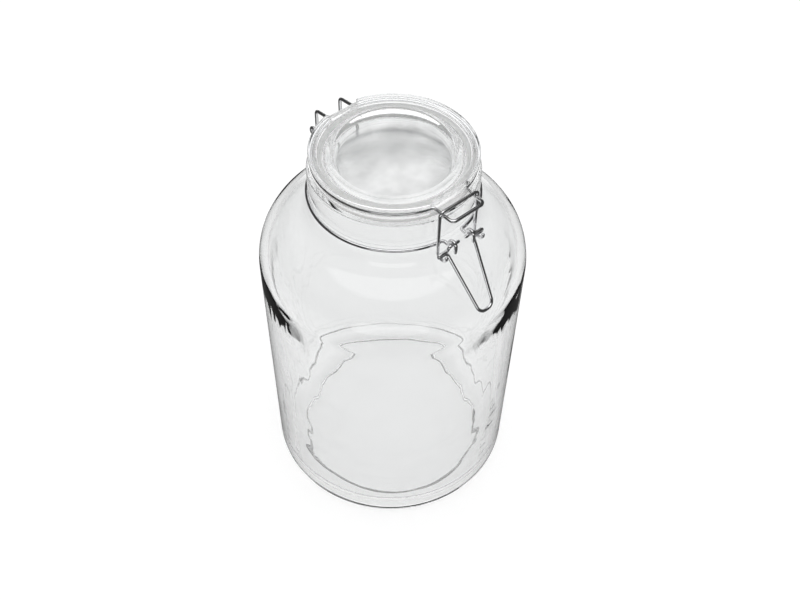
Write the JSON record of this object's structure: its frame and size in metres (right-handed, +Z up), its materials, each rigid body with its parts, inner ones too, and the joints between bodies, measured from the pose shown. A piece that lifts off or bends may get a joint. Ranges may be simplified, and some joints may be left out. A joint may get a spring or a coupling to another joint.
{
  "type": "clip-top glass jar",
  "caption": "Tall round clear glass storage jar with a wide neck, hinged glass lid, sealing ring and bent-wire clip closure, empty and shut.",
  "frame": {"origin": "centre of the base, on the surface that the jar stands on", "axes": "+Z up along the jar's axis, the latch at -Y, the lid's hinge at +Y, +X to the right seen from the latch"},
  "size_m": [0.177, 0.177, 0.291],
  "materials": {
    "clear_glass": "clear, glossy, faint mould waviness",
    "lid_glass": "clear pressed glass, glossy",
    "clear_seal": "translucent, satin",
    "bright_steel": "bright drawn wire"
  },
  "bodies": {
    "jar": {"jar_body": "clear_glass", "neck_wire": "bright_steel"},
    "lid": {"lid": "lid_glass", "seal": "clear_seal", "lid_wire": "bright_steel"},
    "lever": {"latch_lever": "bright_steel"},
    "link": {"latch_link": "bright_steel"}
  },
  "joints": [
    {"name": "lid_hinge", "type": "hinge", "parent": "jar", "child": "lid", "pos_m": [0, 0.064, 0.2685], "axis": [-1, 0, 0], "range_deg": [0, 110]},
    {"name": "lever_pivot", "type": "hinge", "parent": "jar", "child": "lever", "pos_m": [0, -0.0615, 0.2616], "axis": [-1, 0, 0], "range_deg": [0, 105]},
    {"name": "link_pivot", "type": "hinge", "parent": "lever", "child": "link", "pos_m": [0, -0.06074, 0.25727], "axis": [-1, 0, 0], "range_deg": [-140, 0]}
  ],
  "couplings": [
    {"joint": "link_pivot", "follows": "lever_pivot", "ratio": -1.3}
  ]
}
